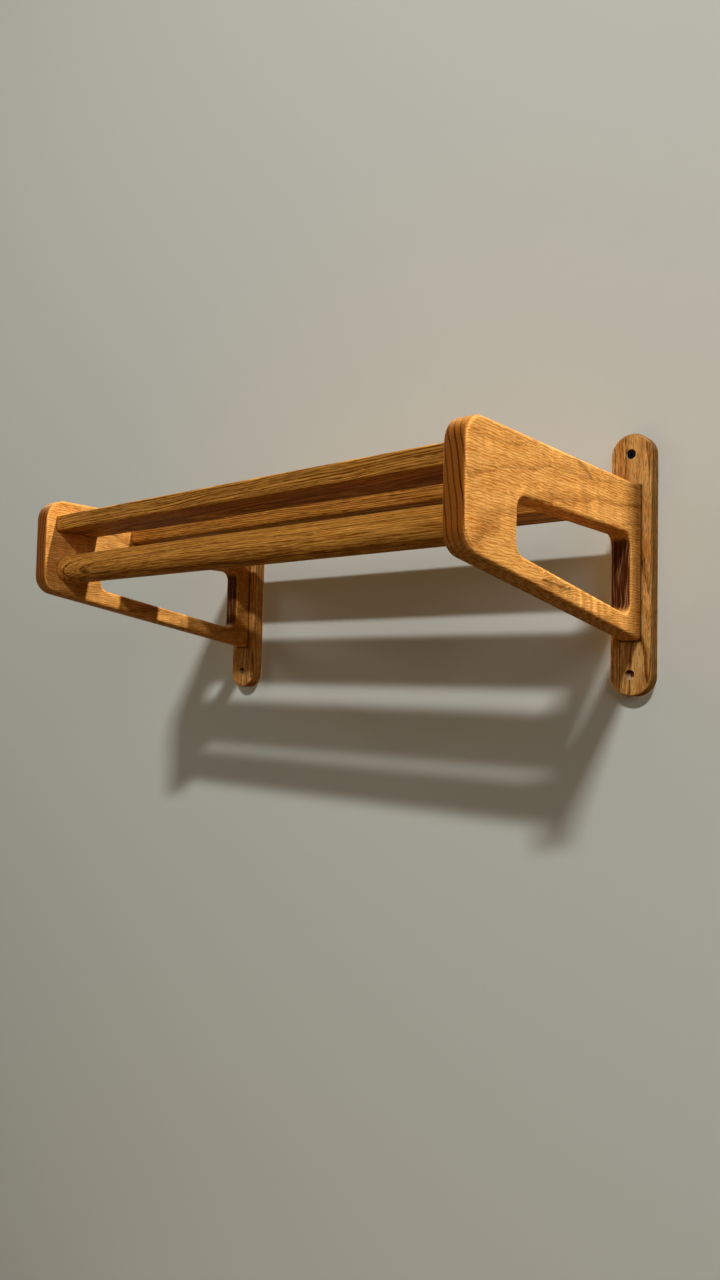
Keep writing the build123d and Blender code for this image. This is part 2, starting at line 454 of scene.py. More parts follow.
    def _rings(self) -> tuple[Node, Node]:
        """Draws growth rings about the pith, each with its own strength.

        Returns:
            The porous early wood of each ring, and the same with the ring's own strength.
        """
        ring = self.add("Math", {0: self.radius, 1: self.oak.ring_mm}, operation="DIVIDE")
        number = self.add("Math", {0: ring}, operation="FLOOR")
        phase = self.add("Math", {0: ring}, operation="FRACT")
        fall = self.add(
            "MapRange", {"Value": phase, "From Max": self.oak.early_share, "To Min": 1.0, "To Max": 0.0},
            interpolation_type="SMOOTHSTEP",
        )
        rise = self.add(
            "MapRange", {"Value": phase, "From Min": self.oak.ring_rise}, interpolation_type="SMOOTHSTEP",
        )
        early = self.add("Math", {0: fall, 1: rise}, operation="MAXIMUM")
        chance = self.add("TexWhiteNoise", {"W": number}, noise_dimensions="1D")
        own = self.add("MapRange", {"Value": chance, "To Min": self.oak.faint_ring})
        return early, self.add("Math", {0: early, 1: own}, operation="MULTIPLY")

    def _pores(self) -> Node:
        """Draws pores as short dark dashes along the grain, thick in the early wood.

        A real pore is 0.3 mm wide, too fine to show, so the dashes are drawn about three times as wide.

        Returns:
            Mask of the pores.
        """
        dashes = self._pattern(self.board, self.oak.pore_mm, 1.0)
        low, high = self.oak.pore_cut
        cut = self.add("MapRange", {"Value": dashes, "From Min": low, "From Max": high})
        share = self.add("MapRange", {"Value": self.early, "To Min": self.oak.late_pores})
        return self.add("Math", {0: cut, 1: share}, operation="MULTIPLY")

    def _tone(self) -> Node:
        """Mixes long streaks, which follow the growth layers, and short flecks into one pattern.

        Returns:
            Tone from 0 in pale wood to 1 in dark wood.
        """
        split = self.add("SeparateXYZ", {0: self.board}).outputs
        layers = self.add("CombineXYZ", {"X": split["X"], "Y": self.radius, "Z": split["Z"]})
        streaks = self._pattern(layers, (*self.oak.streak_mm, self.oak.streak_turn_mm), 3.0, 0.6)
        low, high = self.oak.streak_cut
        lines = self.add("MapRange", {"Value": streaks, "From Min": low, "From Max": high})
        return self.add("Mix", {0: self.oak.fleck_share, 2: lines, 3: self._flecks()})

    def _flecks(self) -> Node:
        """Draws short ray flecks, some in wavy rows and some loose.

        Returns:
            Pattern from 0 to 1.
        """
        oak = self.oak
        length, gap = oak.fleck_mm
        wander = self._pattern(self.board, (length, oak.row_bend * gap), 2.0, 0.55)
        side = Vector(oak.row_side)
        if oak.layered:
            from_y, from_z = oak.from_pith_mm
            side = Vector((0.0, -from_z, from_y)).normalized() * oak.layer_slant
        rows = self.add("VectorMath", {0: self.board, 1: side}, operation="DOT_PRODUCT")
        if oak.layered:
            rows = self.add("Math", {0: rows, 1: self.radius}, operation="ADD")
        even = self.add("Math", {0: rows, 1: FULL_TURN / gap}, operation="MULTIPLY")
        swing = FULL_TURN * oak.fleck_wander
        phase = self.add("Math", {0: wander, 1: swing, 2: even}, operation="MULTIPLY_ADD")
        ripple = self.add("Math", {0: phase}, operation="SINE")
        long_share, row_share = oak.loose_size
        loose = self._pattern(self.board, (long_share * length, row_share * gap), 2.0, 0.6)
        low, high = oak.loose_cut
        dashes = self.add("MapRange", {"Value": loose, "From Min": low, "From Max": high, "To Min": -1.0})
        mixed = self.add("Mix", {0: oak.loose_share, 2: ripple, 3: dashes})
        return self.add(
            "MapRange", {"Value": mixed, "From Min": -oak.fleck_cut, "From Max": oak.fleck_cut},
        )

    def _long_grain(self) -> Node:
        """Mixes pale and honey wood, early wood and pores.

        Returns:
            Colour of the long grain.
        """
        oak = self.oak
        colour = linear(oak.pale)
        rings = self.add("Math", {0: self.strength, 1: oak.ring_contrast}, operation="MULTIPLY")
        dots = self.add("Math", {0: self.pores, 1: oak.pore_contrast}, operation="MULTIPLY")
        for share, stain in ((self.tone, oak.honey), (rings, oak.early), (dots, oak.pore)):
            colour = self.add("Mix", {0: share, 6: colour, 7: linear(stain)}, data_type="RGBA")
        return colour

    def _shimmer(self) -> None:
        """Lets the wood shimmer across the grain, most of all in curly patches."""
        oak = self.oak
        waves = self._pattern(self.board, oak.wave_mm, 1.0)
        patches = self._pattern(self.board, oak.patch_mm, 1.0)
        ranges = (
            (waves, oak.wave_cut, (-1.0, 1.0)),
            (patches, oak.patch_cut, (oak.plain_share * oak.figure, oak.figure)),
            (patches, oak.wave_cut, oak.mottle),
        )
        swing, curly, mottle = (
            self.add(
                "MapRange",
                {"Value": noise, "From Min": cut[0], "From Max": cut[1], "To Min": low, "To Max": high},
            )
            for noise, cut, (low, high) in ranges
        )
        shimmer = self.add("Math", {0: swing, 1: curly, 2: mottle}, operation="MULTIPLY_ADD")
        self.colour = self.add("VectorMath", {0: self.colour, "Scale": shimmer}, operation="SCALE")

    def _end_grain(self) -> None:
        """Darkens the faces that cut across the grain, with the rings as bars and the pores as dots."""
        oak = self.oak
        bars = self.add("Math", {0: self.strength, 1: oak.bar_width}, operation="MULTIPLY")
        dotted = self.add(
            "Math", {0: self.pores, 1: oak.dot_depth, 2: bars}, operation="MULTIPLY_ADD", use_clamp=True,
        )
        end = self.add(
            "Mix", {0: dotted, 6: linear(oak.end_pale), 7: linear(oak.end_line)}, data_type="RGBA",
        )
        # Painted shade on the end grain inside the window.
        if oak.shaded_behind is not None:
            end = self._shaded_sawn_end(end)
        along = oak.grain.turn().transposed() @ Vector((1.0, 0.0, 0.0))
        facing = self.add("VectorMath", {0: self.normal, 1: along}, operation="DOT_PRODUCT")
        square = self.add("Math", {0: facing}, operation="ABSOLUTE")
        low, high = oak.end_cut
        share = self.add(
            "MapRange", {"Value": square, "From Min": low, "From Max": high}, interpolation_type="SMOOTHSTEP",
        )
        self.colour = self.add("Mix", {0: share, 6: self.colour, 7: end}, data_type="RGBA")

    def _shaded_sawn_end(self, end: Node) -> Node:
        """Leaves the end grain inside the window as sawn, painted dark with the shade of the window's recess,
        with torn fibres as pale streaks.

        The streaks are drawn about 1.5 mm wide, coarser than torn fibres, so that they show.

        Args:
            end: Colour of sanded end grain.

        Returns:
            Colour of end grain, sawn and sanded.
        """
        oak = self.oak
        torn = self._pattern(self.board, oak.torn_mm, 2.0)
        low, high = oak.torn_cut
        streaks = self.add("MapRange", {"Value": torn, "From Min": low, "From Max": high})
        rough = self.add(
            "Mix", {0: streaks, 6: linear(oak.sawn_in_shade), 7: linear(oak.sawn_streak)}, data_type="RGBA",
        )
        depth = self.add("SeparateXYZ", {0: self.place}).outputs["Y"]
        behind = self.add("Math", {0: depth, 1: oak.shaded_behind}, operation="GREATER_THAN")
        return self.add("Mix", {0: behind, 6: end, 7: rough}, data_type="RGBA")

    def _curl(self, patch: CurlyPatch) -> None:
        """Lays pale and dark bands across the grain of a curly patch.

        Args:
            patch: The patch.
        """
        size = Vector((0.0, *(PER_MM / reach for reach in patch.reach_mm)))
        shift = -size * Vector((0.0, *patch.middle))
        near = self.add("VectorMath", {0: self.place, 1: size, 2: shift}, operation="MULTIPLY_ADD")
        far = self.add("VectorMath", {0: near}, operation="LENGTH")
        share = self.add(
            "MapRange", {"Value": far, "From Min": patch.core, "To Min": patch.depth, "To Max": 0.0},
            interpolation_type="SMOOTHSTEP",
        )
        drift = self.add("TexNoise", {"Vector": self.place, "Scale": PER_MM / patch.drift_mm, "Detail": 2.0})
        along = self.add("SeparateXYZ", {0: self.place}).outputs["Y"]
        even = self.add("Math", {0: along, 1: FULL_TURN * PER_MM / patch.band_mm}, operation="MULTIPLY")
        phase = self.add("Math", {0: drift, 1: patch.drift, 2: even}, operation="MULTIPLY_ADD")
        bands = self.add("Math", {0: phase}, operation="SINE")
        shade = self.add("Math", {0: bands, 1: share, 2: 1.0}, operation="MULTIPLY_ADD")
        self.colour = self.add("VectorMath", {0: self.colour, "Scale": shade}, operation="SCALE")

    def _streak(self, streak: DarkStreak) -> None:
        """Darkens the wood along a streak that wanders a little.

        Args:
            streak: The streak.
        """
        start, end = Vector((0.0, *streak.start)), Vector((0.0, *streak.end))
        run = end - start
        wave = self.add("TexNoise", {"Vector": self.place, "Scale": PER_MM / streak.wave_mm, "Detail": 3.0})
        middled = self.add("VectorMath", {0: wave.outputs["Color"], 1: (0.5,) * 3}, operation="SUBTRACT")
        reach = NOISE_SWING * streak.wander_mm * MM
        moved = self.add(
            "VectorMath", {0: middled, 1: (0.0, reach, reach), 2: self.place}, operation="MULTIPLY_ADD",
        )
        away = self.add("VectorMath", {0: moved, 1: start}, operation="SUBTRACT")
        along = self.add("VectorMath", {0: away, 1: run / run.length_squared}, operation="DOT_PRODUCT")
        held = self.add("Math", {0: along, 1: 0.0}, operation="ADD", use_clamp=True)
        foot = self.add("VectorMath", {0: run, "Scale": held}, operation="SCALE")
        apart = self.add("VectorMath", {0: away, 1: foot}, operation="SUBTRACT")
        flat = self.add("VectorMath", {0: apart, 1: ACROSS_X}, operation="MULTIPLY")
        gap = self.add("VectorMath", {0: flat}, operation="LENGTH")
        self._shade_near(gap, (0.0, streak.width_mm * MM), 1.0 - streak.depth)

    def _paint_edge_highlights(self) -> None:
        """Paints a highlight on the round edges of the board's two main faces, which makes them paler."""
        across = self.add("SeparateXYZ", {0: self.normal}).outputs[self.oak.edge_axis]
        square = self.add("Math", {0: across, 1: 2.0}, operation="POWER")
        turned = self.add("Math", {0: self.oak.edge_square, 1: square}, operation="SUBTRACT")
        off = self.add("Math", {0: turned}, operation="ABSOLUTE")
        self._shade_near(off, self.oak.edge_cut, 1.0 + self.oak.edge_highlight)

    def _paint_joint_shade(self, axis: str, joint: float) -> None:
        """Darkens the wood beside a joint with painted shade, the shadow of the seam.

        Args:
            axis: Axis that the joint lies across.
            joint: Place of the joint on that axis.
        """
        split = self.add("SeparateXYZ", {0: self.place}).outputs
        away = self.add("Math", {0: split[axis], 1: joint}, operation="SUBTRACT")
        gap = self.add("Math", {0: away}, operation="ABSOLUTE")
        self._shade_near(gap, (0.0, self.oak.joint_shade_mm * MM), self.oak.joint_shade)

    def _paint_foot_shade(self) -> None:
        """Darkens the front of this board round the foot of another board with painted shade, its contact
        shadow.
        """
        low, high = self.oak.shaded_footprint
        away = self.add("VectorMath", {0: self.place, 1: (low + high) / 2}, operation="SUBTRACT")
        reach = self.add("VectorMath", {0: away}, operation="ABSOLUTE")
        over = self.add("VectorMath", {0: reach, 1: (high - low) / 2}, operation="SUBTRACT")
        outside = self.add("VectorMath", {0: over, 1: ORIGIN}, operation="MAXIMUM")
        gap = self.add("VectorMath", {0: outside}, operation="LENGTH")
        self._shade_near(gap, (0.0, self.oak.joint_shade_mm * MM), self.oak.foot_shade)

    def _raw_bores_with_shade(self) -> None:
        """Leaves the drilled holes raw, where no oil was wiped, with painted shade over their upper half."""
        oak = self.oak
        depth = self.add("SeparateXYZ", {0: self.place}).outputs["Y"]
        inside = self.add("Math", {0: depth, 1: -oak.back_skin}, operation="LESS_THAN")
        low, high = oak.bore_shade_heights
        for x, z in oak.bores:
            flat = self.add(
                "VectorMath", {0: self.place, 1: (1.0, 0.0, 1.0), 2: (-x, 0.0, -z)}, operation="MULTIPLY_ADD",
            )
            reach = self.add("VectorMath", {0: flat}, operation="LENGTH")
            near = self.add("Math", {0: reach, 1: oak.bore_radius}, operation="LESS_THAN")
            share = self.add("Math", {0: near, 1: inside}, operation="MULTIPLY")
            height = self.add("SeparateXYZ", {0: flat}).outputs["Z"]
            # Painted shade over the upper half of the bore.
            upper = self.add(
                "MapRange", {"Value": height, "From Min": low, "From Max": high},
                interpolation_type="SMOOTHSTEP",
            )
            bare = self.add(
                "Mix", {0: upper, 6: linear(oak.raw), 7: linear(oak.bore_shade)}, data_type="RGBA",
            )
            self.colour = self.add("Mix", {0: share, 6: self.colour, 7: bare}, data_type="RGBA")

    def _surface(self) -> None:
        """Joins colour, soft sheen and the relief of pores, flecks and rings."""
        oak = self.oak
        smooth, porous = oak.roughness
        rough = self.add("MapRange", {"Value": self.pores, "To Min": smooth, "To Max": porous})
        ringed = self.add(
            "Math", {0: self.early, 1: oak.ring_relief, 2: self.pores}, operation="MULTIPLY_ADD",
        )
        hollow = self.add("Math", {0: self.tone, 1: oak.tone_relief, 2: ringed}, operation="MULTIPLY_ADD")
        relief = self.add(
            "Bump", {"Strength": oak.relief, "Distance": oak.relief_depth, "Height": hollow}, invert=True,
        )
        shader = self.add(
            "BsdfPrincipled",
            {"Base Color": self.colour, "Roughness": rough, "IOR": oak.ior,
             "Specular IOR Level": oak.specular, "Normal": relief},
        )
        self.add("OutputMaterial", {"Surface": shader})


@dataclass(frozen=True)
class RawBeech:
    """Turned beech of the dowels: even, pale and matt, with short brown ray flecks."""

    name: str = "raw beech, turned"
    pale: str = "#D9B98F"
    fleck: str = "#A87B4E"
    fleck_mm: Pair = (2.5, 1 / 1.2)  # length and width
    fleck_cut: Pair = (0.55, 0.7)
    rough: float = 0.7

    def material(self) -> Material:
        """Makes the material.

        Returns:
            The finished material.
        """
        material = bpy.data.materials.new(self.name)
        recipe = Recipe(material)
        place = recipe.add("TexCoord").outputs["Object"]
        length, width = (PER_MM / size for size in self.fleck_mm)
        sized = recipe.add("VectorMath", {0: place, 1: (length, width, width)}, operation="MULTIPLY")
        flecks = recipe.add("TexNoise", {"Vector": sized, "Scale": 1.0, "Detail": 2.0})
        low, high = self.fleck_cut
        cut = recipe.add("MapRange", {"Value": flecks, "From Min": low, "From Max": high})
        colour = recipe.add(
            "Mix", {0: cut, 6: linear(self.pale), 7: linear(self.fleck)}, data_type="RGBA",
        )
        shader = recipe.add("BsdfPrincipled", {"Base Color": colour, "Roughness": self.rough})
        recipe.add("OutputMaterial", {"Surface": shader})
        return material


@dataclass(frozen=True)
class CoatedSteel:
    """Steel screw with a thin coat: the coat's fine crystals break up the shine."""

    name: str
    dark: str
    light: str
    metallic: float
    rough: Pair
    specular: float = 0.5
    crystal_mm: float = 0.6  # coarser than real crystals, so that they show
    crystal_cut: Pair = (0.3, 0.7)
    relief: float = 0.2
    relief_depth: float = 0.05 * MM

    def material(self) -> Material:
        """Makes the material.

        Returns:
            The finished material.
        """
        material = bpy.data.materials.new(self.name)
        recipe = Recipe(material)
        place = recipe.add("TexCoord").outputs["Object"]
        crystals = recipe.add(
            "TexNoise",
            {"Vector": place, "Scale": PER_MM / self.crystal_mm, "Detail": 3.0, "Roughness": 0.6},
        )
        colour = recipe.add(
            "Mix", {0: crystals, 6: linear(self.dark), 7: linear(self.light)}, data_type="RGBA",
        )
        low, high = self.crystal_cut
        smooth, coarse = self.rough
        rough = recipe.add(
            "MapRange",
            {"Value": crystals, "From Min": low, "From Max": high, "To Min": smooth, "To Max": coarse},
        )
        relief = recipe.add(
            "Bump", {"Strength": self.relief, "Distance": self.relief_depth, "Height": crystals},
        )
        shader = recipe.add(
            "BsdfPrincipled",
            {"Base Color": colour, "Metallic": self.metallic, "Roughness": rough,
             "Specular IOR Level": self.specular, "Normal": relief},
        )
        recipe.add("OutputMaterial", {"Surface": shader})
        return material


@dataclass
class SidePanels:
    """The two side boards, flat-sawn, with the grain from front to back."""

    ring_mm: float = 5.6
    pith_depth_mm: float = 330.0
    seed_mm: float = 70.0
    knot: Point = (-0.198, -0.157, 0.036)  # in the right panel's strut: Y, Z and reach
    streaks: tuple[DarkStreak, ...] = (
        DarkStreak((-0.166, -0.036), (-0.137, -0.048), 5.0, 0.38, 1.2),
        DarkStreak((-0.137, -0.048), (-0.114, -0.072), 7.0, 0.16, 2.0),
        DarkStreak((-0.226, -0.158), (-0.176, -0.160), 2.4, 0.6, 1.8),
        DarkStreak((-0.224, -0.160), (-0.172, -0.163), 8.0, 0.2, 2.5),
    )
    curl: CurlyPatch = CurlyPatch((-0.128, -0.166), (58.0, 26.0), 15.0, 0.24)

    def finish(self) -> None:
        """Dresses both panels, each from its own log."""
        for node, side, rise, lean, knots, streaks, curls in (
            ("right_side_panel", -1.0, 26.0, (0.5, 1.6), (self.knot,), self.streaks, (self.curl,)),
            ("left_side_panel", 1.0, -14.0, (-0.6, 1.2), (), (), ()),
        ):
            oak = OiledOak(
                f"oiled oak, {node}", Grain.ALONG_Y, (side * self.pith_depth_mm, rise), lean,
                ring_mm=self.ring_mm, early_share=0.3, ring_contrast=0.45, pore_contrast=0.4, late_pores=0.5,
                fleck_share=0.8, fleck_mm=(17.0, 2.6), loose_share=0.33, figure=0.14,
                seed_mm=self.seed_mm * side, pale="#F5B866", honey="#BF782D",
                knots=knots, dark_streaks=streaks, curly_patches=curls,
                edge_highlight=0.22, shaded_behind=centre_of(node).y, joints=(("Y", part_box(node)[1].y),),
            )
            dress(frame["nodes"][node], oak.material(centre_of(node)))


@dataclass
class WallPlates:
    """The two upright plates, with strong rings that run up and down."""

    ring_mm: float = 4.2
    pith_depth_mm: float = 36.0
    seed_share: float = 31.0  # of the pith's sideways place

    def finish(self) -> None:
        """Dresses both plates and leaves their drilled holes raw, with painted shade in their upper halves.
        """
        mounts = {mount["name"]: mount["pos_m"] for mount in frame["record"]["mounts"]}
        heights = (mounts["wall_screws"][2], mounts["lower_wall_holes"][2])
        for node, panel, side, lean in (
            ("right_wall_plate", "right_side_panel", 9.0, (0.6, -1.8)),
            ("left_wall_plate", "left_side_panel", -12.0, (-0.8, 1.4)),
        ):
            centre = centre_of(node)
            oak = OiledOak(
                f"oiled oak, {node}", Grain.ALONG_Z, (-self.pith_depth_mm, side), lean,
                ring_mm=self.ring_mm, early_share=0.16, ring_contrast=0.95, pore_contrast=0.85,
                pore_mm=(9.0, 0.7), late_pores=0.55, bend_mm=8.0, streak_mm=(80.0, 1.6), fleck_share=0.35,
                fleck_mm=(11.0, 2.2), seed_mm=self.seed_share * side,
                pale="#FBC679", honey="#CB863D", early="#6E3C0E", edge_highlight=0.12, edge_axis="Y",
                shaded_footprint=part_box(panel), bores=tuple((centre.x, height) for height in heights),
            )
            dress(frame["nodes"][node], oak.material(centre))


@dataclass
class ShelfSlats:
    """The three shelf slats, with fine lines along their edges."""

    ring_mm: float = 2.9
    pith_depth_mm: float = 62.0
    pith_step_mm: Pair = (11.0, 5.0)  # from slat to slat, across and down
    seed_mm: float = 410.0

    def finish(self) -> None:
        """Dresses the slats, each from its own board."""
        across, down = self.pith_step_mm
        for place, (node, lean) in enumerate((
            ("front_slat", (0.7, 0.5)), ("middle_slat", (-0.9, 0.4)), ("rear_slat", (0.5, -0.8)),
        )):
            low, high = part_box(node)
            oak = OiledOak(
                f"oiled oak, {node}", Grain.ALONG_X,
                (across * (place - 1), self.pith_depth_mm + down * place), lean,
                ring_mm=self.ring_mm, bend_mm=5.0, ring_contrast=0.7, pore_contrast=0.95,
                pore_mm=(14.0, 0.8), streak_mm=(90.0, 1.2), fleck_share=0.6, fleck_mm=(60.0, 2.0),
                layered=True, fleck_wander=1.2, loose_share=0.3, seed_mm=self.seed_mm * (place + 1),
                pale="#F2B052", honey="#7A4208", edge_highlight=0.35, edge_axis="Z",
                joints=(("X", low.x), ("X", high.x)),
            )
            dress(frame["nodes"][node], oak.material(centre_of(node)))


@dataclass
class HangingRail:
    """The round rail, turned from a leaning board so that the rings make long loops on it."""

    ring_mm: float = 3.8
    pith_mm: Pair = (-58.05, -18.95)
    lean_deg: Pair = (0.1, -0.15)
    sweep_mm: Pair = (6.95, 2.27)

    def finish(self) -> None:
        """Dresses the rail."""
        low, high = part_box("hanging_rail")
        oak = OiledOak(
            "oiled oak, hanging_rail", Grain.ALONG_X, self.pith_mm, self.lean_deg, sweep_mm=self.sweep_mm,
            length_mm=(high.x - low.x) * PER_MM, bend_mm=4.0, ring_mm=self.ring_mm, early_share=0.17,
            early="#512B09", ring_contrast=1.0, pore_contrast=0.8, pore_mm=(13.0, 0.8),
            streak_mm=(60.0, 0.6), streak_turn_mm=2.5, fleck_share=0.6, fleck_mm=(24.0, 2.1),
            layered=True, layer_slant=0.8, fleck_wander=1.6, loose_share=0.4, seed_mm=55.0,
            pale="#FDB957", honey="#8E4D0D", joints=(("X", low.x), ("X", high.x)),
        )
        dress(frame["nodes"]["hanging_rail"], oak.material(centre_of("hanging_rail")))


@dataclass
class Dowels:
    """The hidden dowels that carry the slats, the rail and the plates."""

    nodes: list[str] = field(default_factory=lambda: [name for name in frame["nodes"] if "dowel" in name])

    def finish(self) -> None:
        """Dresses every dowel in raw beech."""
        beech = RawBeech().material()
        for node in self.nodes:
            dress(frame["nodes"][node], beech)


@dataclass
class PlateScrews:
    """The countersunk screws in the backs of the plates."""

    nodes: tuple[str, str] = ("left_plate_screws", "right_plate_screws")

    def finish(self) -> None:
        """Dresses the screws in bright zinc."""
        zinc = CoatedSteel("steel, bright zinc plated", "#A9ACAD", "#D5D6D2", 1.0, (0.28, 0.42)).material()
        for node in self.nodes:
            dress(frame["nodes"][node], zinc)


@dataclass
class WallScrews:
    """The two black screws that hold the rack on the wall, with cross recesses and threads."""

    head_top: float = -17.0 * MM
    seat: float = -12.0 * MM
    head_radius: float = 4.7 * MM
    head_round: float = 0.8 * MM
    shank_radius: float = 2.1 * MM
    neck: Pair = (-0.2 * MM, 0.4 * MM)  # where the shank narrows to the thread's root
    root_radius: float = 1.65 * MM
    thread_radius: float = 2.4 * MM
    thread_start: float = 0.3 * MM
    thread_end: float = 33.0 * MM
    thread_bury: float = 0.15 * MM  # how deep the foot of the ridge sits in the core
    ridge: Pair = (0.35, 0.7)  # crest and far foot of the ridge, in pitches
    tip: float = 40.0 * MM
    tip_gap: float = 2.0 * MM  # bare point beyond the thread
    least_share: float = 0.08  # of the thread's radius, near the point
    pitch: float = 2.2 * MM
    recess_length: float = 5.0 * MM
    recess_width: float = 1.15 * MM
    recess_depth: float = 2.2 * MM
    recess_taper: float = 0.62  # floor of the recess against its mouth
    segments: int = 40
    round_segments: int = 4
    steps_per_turn: int = 18
    driven: Pair = (0.4, 1.0)  # how far the right and the left screw are turned, in radians
    axis: Vector = field(default_factory=lambda: Vector((0.0, 1.0, 0.0)))

    def _lathe(self, shape: Shape, profile: list[Pair]) -> None:
        """Spins a profile of radius and depth pairs about the screw's axis.

        Args:
            shape: Mesh that gets the turned form.
            profile: Radius and depth of each corner, from the head to the tip.
        """
        corners = [shape.verts.new((radius, depth, 0.0)) for radius, depth in profile]
        edges = [shape.edges.new(pair) for pair in zip(corners, corners[1:])]
        bmesh.ops.spin(
            shape, geom=corners + edges, cent=ORIGIN, axis=self.axis, angle=FULL_TURN,
            steps=self.segments, use_merge=True,
        )
        bmesh.ops.remove_doubles(shape, verts=shape.verts[:], dist=SAME)

    def _core(self, shape: Shape) -> None:
        """Turns the head, the shank and the pointed core, and rounds the head's rim.

        Args:
            shape: Mesh that gets the core.
        """
        neck_top, neck_foot = self.neck
        self._lathe(shape, [
            (0.0, self.head_top),
            (self.head_radius, self.head_top),
            (self.head_radius, self.seat),
            (self.shank_radius, self.seat),
            (self.shank_radius, neck_top),
            (self.root_radius, neck_foot),
            (self.root_radius, self.thread_end),
            (0.0, self.tip),
        ])
        top = [face for face in shape.faces if face.calc_center_median().y < self.head_top + FLAT]
        bmesh.ops.dissolve_faces(shape, faces=top, use_verts=False)
        rim = [
            edge for edge in shape.edges
            if all(vert.co.y < self.head_top + FLAT for vert in edge.verts)
        ]
        bmesh.ops.bevel(
            shape, geom=rim, offset=self.head_round, affect="EDGES", segments=self.round_segments,
            profile=0.5, material=-1,
        )

    def _recess(self, shape: Shape) -> None:
        """Sinks a tapered cross into the head.

        Args:
            shape: Mesh with the turned core.
        """
        def on_top(face: bmesh.types.BMFace) -> bool:
            """Tells whether a face lies on the flat of the head."""
            return all(vert.co.y < self.head_top + SAME for vert in face.verts)

        half_long, half_wide = self.recess_length / 2, self.recess_width / 2
        for direction in (Vector((1.0, 0.0, 0.0)), Vector((0.0, 0.0, 1.0))):
            for reach in (-half_long, -half_wide, half_wide, half_long):
                cut = [face for face in shape.faces if on_top(face)]
                geom = cut + list({edge for face in cut for edge in face.edges})
                geom += list({vert for face in cut for vert in face.verts})
                bmesh.ops.bisect_plane(shape, geom=geom, plane_co=direction * reach, plane_no=direction)
        cross = []
        for face in shape.faces:
            middle = face.calc_center_median()
            across, up = abs(middle.x), abs(middle.z)
            if on_top(face) and min(across, up) < half_wide and max(across, up) < half_long:
                cross.append(face)
        sunk = bmesh.ops.extrude_face_region(shape, geom=cross)
        bmesh.ops.delete(shape, geom=cross, context="FACES")
        floor = [item for item in sunk["geom"] if isinstance(item, bmesh.types.BMVert)]
        bmesh.ops.scale(shape, vec=(self.recess_taper, 1.0, self.recess_taper), verts=floor)
        bmesh.ops.translate(shape, vec=self.axis * self.recess_depth, verts=floor)

    def _thread(self, shape: Shape) -> None:
        """Winds a sharp ridge round the core and draws it in towards the point.

        Args:
            shape: Mesh that gets the thread.
        """
        foot = self.root_radius - self.thread_bury
        start = self.thread_start
        crest_at, foot_at = (start + share * self.pitch for share in self.ridge)
        section = [(foot, start), (self.thread_radius, crest_at), (foot, foot_at)]
        corners = [shape.verts.new((radius, depth, 0.0)) for radius, depth in section]
        edges = [shape.edges.new((corners[place], corners[place - 1])) for place in range(len(corners))]
        old = set(shape.verts) - set(corners)
        turns = (self.tip - self.tip_gap - start) / self.pitch
        steps = int(turns * self.steps_per_turn)
        wound = bmesh.ops.spin(
            shape, geom=corners + edges, cent=ORIGIN, axis=self.axis,
            dvec=self.axis * (self.pitch / self.steps_per_turn),
            angle=FULL_TURN * steps / self.steps_per_turn, steps=steps,
        )
        last = [item for item in wound["geom_last"] if isinstance(item, bmesh.types.BMVert)]
        bmesh.ops.contextual_create(shape, geom=corners)
        bmesh.ops.contextual_create(shape, geom=last)
        for vert in shape.verts:
            if vert not in old and vert.co.y > self.thread_end:
                share = max(self.least_share, (self.tip - vert.co.y) / (self.tip - self.thread_end))
                vert.co.x *= share
                vert.co.z *= share

    def build(self) -> Piece:
        """Makes both screws as one piece.

        Returns:
            The piece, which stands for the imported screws.
        """
        shape = bmesh.new()
        self._core(shape)
        self._recess(shape)
        self._thread(shape)
        bmesh.ops.recalc_face_normals(shape, faces=shape.faces[:])
        twin = bmesh.ops.duplicate(shape, geom=shape.verts[:] + shape.edges[:] + shape.faces[:])
        second = [item for item in twin["geom"] if isinstance(item, bmesh.types.BMVert)]
        twins = set(second)
        first = [vert for vert in shape.verts if vert not in twins]
        plates = ("right_wall_plate", "left_wall_plate")
        for verts, plate, angle in zip((first, second), plates, self.driven):
            bmesh.ops.rotate(shape, verts=verts, cent=ORIGIN, matrix=Matrix.Rotation(angle, 3, "Y"))
            low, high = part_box(plate)
            bmesh.ops.translate(shape, verts=verts, vec=((low.x + high.x) / 2, 0.0, 0.0))
        return mesh_object("black_wall_screws", shape)

    def finish(self) -> None:
        """Builds, seats and dresses the screws."""
        screws = self.build()
        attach(screws, "root")
        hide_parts("wall_screws")
        black = CoatedSteel("steel, black phosphate", "#040405", "#0C0C0E", 0.0, (0.55, 0.7), 0.08).material()
        dress(screws, black)


@dataclass(frozen=True)
class SoftLamp:
    """A soft lamp that hangs unseen and points at the rack."""

    name: str
    place: Point
    size: Pair  # width and height
    power: float  # watts
    colour: str = "#FFFAF3"
    aim: Point = (0.0, -0.16, -0.12)

    def hang(self) -> None:
        """Hangs the lamp."""
        data = bpy.data.lights.new(self.name, "AREA")
        data.shape = "RECTANGLE"
        data.size, data.size_y = self.size
        data.energy = self.power
        data.color = linear(self.colour)[:3]
        lamp = bpy.data.objects.new(self.name, data)
        lamp.visible_camera = False
        look = Vector(self.aim) - Vector(self.place)
        turn = look.to_track_quat("-Z", "Y").to_matrix().to_4x4()
        lamp.matrix_world = Matrix.Translation(self.place) @ turn
        bpy.context.scene.collection.objects.link(lamp)


